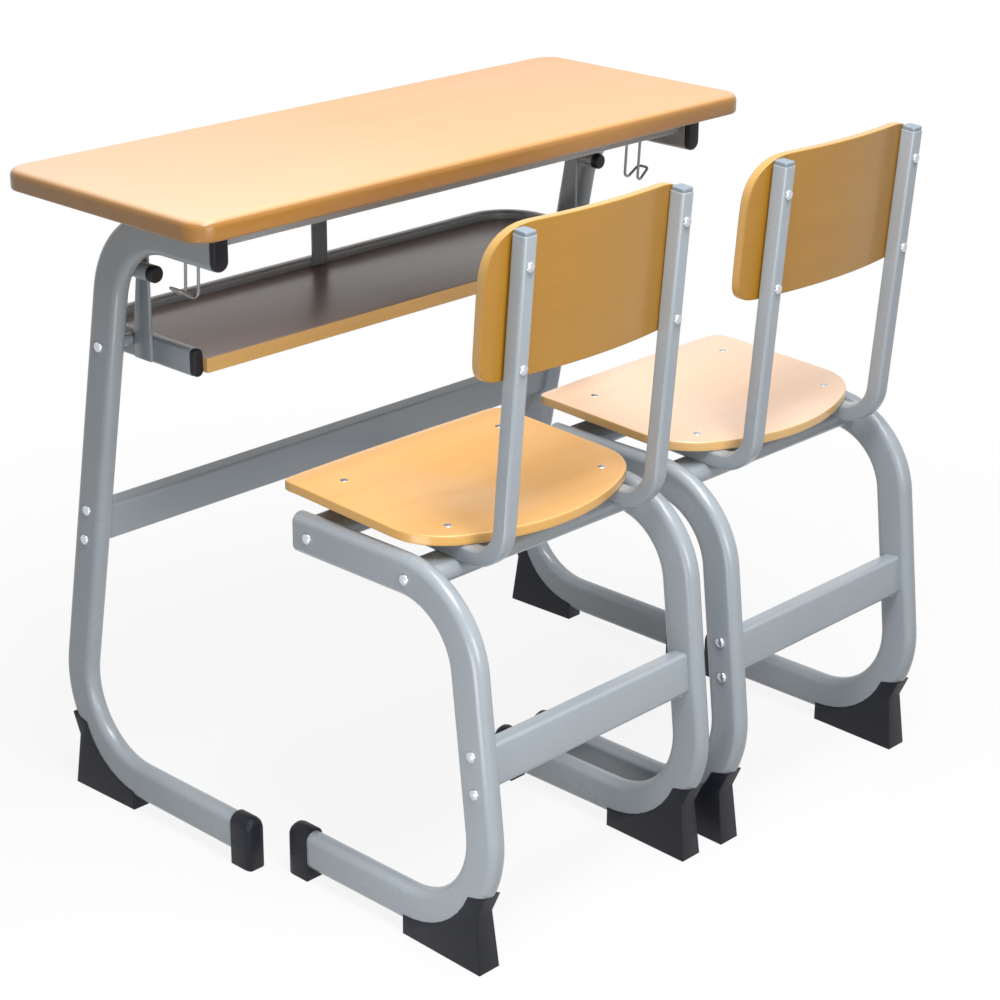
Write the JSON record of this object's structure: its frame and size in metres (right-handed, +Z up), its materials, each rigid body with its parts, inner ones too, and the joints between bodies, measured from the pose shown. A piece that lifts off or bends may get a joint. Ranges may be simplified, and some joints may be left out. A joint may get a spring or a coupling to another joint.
{
  "type": "two-seater classroom desk with chairs",
  "caption": "Classroom desk for two: long wooden top on bent flat-oval tube side frames, book tray and bag hooks below, with separate chairs of the same frame.",
  "frame": {"origin": "on the floor, under the centre of the bounding box", "axes": "+Z up, X along the desktop, -Y towards the chairs and the people who sit on them"},
  "size_m": [0.91, 0.7074, 0.826],
  "materials": {
    "frame_paint": "satin light blue-grey powder coat",
    "black_plastic": "fine-grained, nearly black",
    "grey_plastic": "smooth grey",
    "bolt_metal": "zinc-plated, domed heads",
    "hook_wire": "plated wire",
    "top_wood": "pale beech, satin lacquer, ochre edge",
    "seat_wood": "honey-coloured plywood, satin lacquer",
    "tray_wood": "grey-brown laminate with an ochre front edge"
  },
  "bodies": {
    "desk": {"desktop": "top_wood", "desk_frame_left": "frame_paint", "desk_base_cap_left": "black_plastic", "desk_rear_foot_left": "black_plastic", "desk_frame_right": "frame_paint", "desk_base_cap_right": "black_plastic", "desk_rear_foot_right": "black_plastic", "arm_cap_left": "black_plastic", "arm_cap_right": "black_plastic", "top_rail_front": "frame_paint", "top_rail_rear": "frame_paint", "stretcher": "frame_paint", "stretcher_bolt_left_lower": "bolt_metal", "stretcher_bolt_left_upper": "bolt_metal", "stretcher_bolt_right_lower": "bolt_metal", "stretcher_bolt_right_upper": "bolt_metal", "tray_carrier_left": "frame_paint", "tray_carrier_cap_left": "black_plastic", "tray_hanger_left": "frame_paint", "tray_carrier_right": "frame_paint", "tray_carrier_cap_right": "black_plastic", "tray_hanger_right": "frame_paint", "tray_frame": "frame_paint", "tray_board": "tray_wood", "tray_cap_left": "black_plastic", "tray_spacer_left": "frame_paint", "tray_bolt_left": "bolt_metal", "tray_cap_right": "black_plastic", "tray_spacer_right": "frame_paint", "tray_bolt_right": "bolt_metal", "tray_centre_strip": "frame_paint", "bag_hook_left": "hook_wire", "bag_hook_right": "hook_wire"},
    "chair_1": {"chair_1_frame_left": "frame_paint", "chair_1_base_cap_left": "black_plastic", "chair_1_rear_foot_left": "black_plastic", "chair_1_post_cap_left": "grey_plastic", "chair_1_frame_right": "frame_paint", "chair_1_base_cap_right": "black_plastic", "chair_1_rear_foot_right": "black_plastic", "chair_1_post_cap_right": "grey_plastic", "chair_1_cross_rail": "frame_paint", "chair_1_seat_carrier": "frame_paint", "chair_1_seat": "seat_wood", "chair_1_backrest": "seat_wood"},
    "chair_2": {"chair_2_frame_left": "frame_paint", "chair_2_base_cap_left": "black_plastic", "chair_2_rear_foot_left": "black_plastic", "chair_2_post_cap_left": "grey_plastic", "chair_2_frame_right": "frame_paint", "chair_2_base_cap_right": "black_plastic", "chair_2_rear_foot_right": "black_plastic", "chair_2_post_cap_right": "grey_plastic", "chair_2_cross_rail": "frame_paint", "chair_2_seat_carrier": "frame_paint", "chair_2_seat": "seat_wood", "chair_2_backrest": "seat_wood"}
  },
  "joints": [
    {"name": "chair_1_slide", "type": "slide", "parent": "desk", "child": "chair_1", "axis": [0, 1, 0], "range_m": [-0.25, 0.15]},
    {"name": "chair_2_slide", "type": "slide", "parent": "desk", "child": "chair_2", "axis": [0, 1, 0], "range_m": [-0.25, 0.025]}
  ]
}
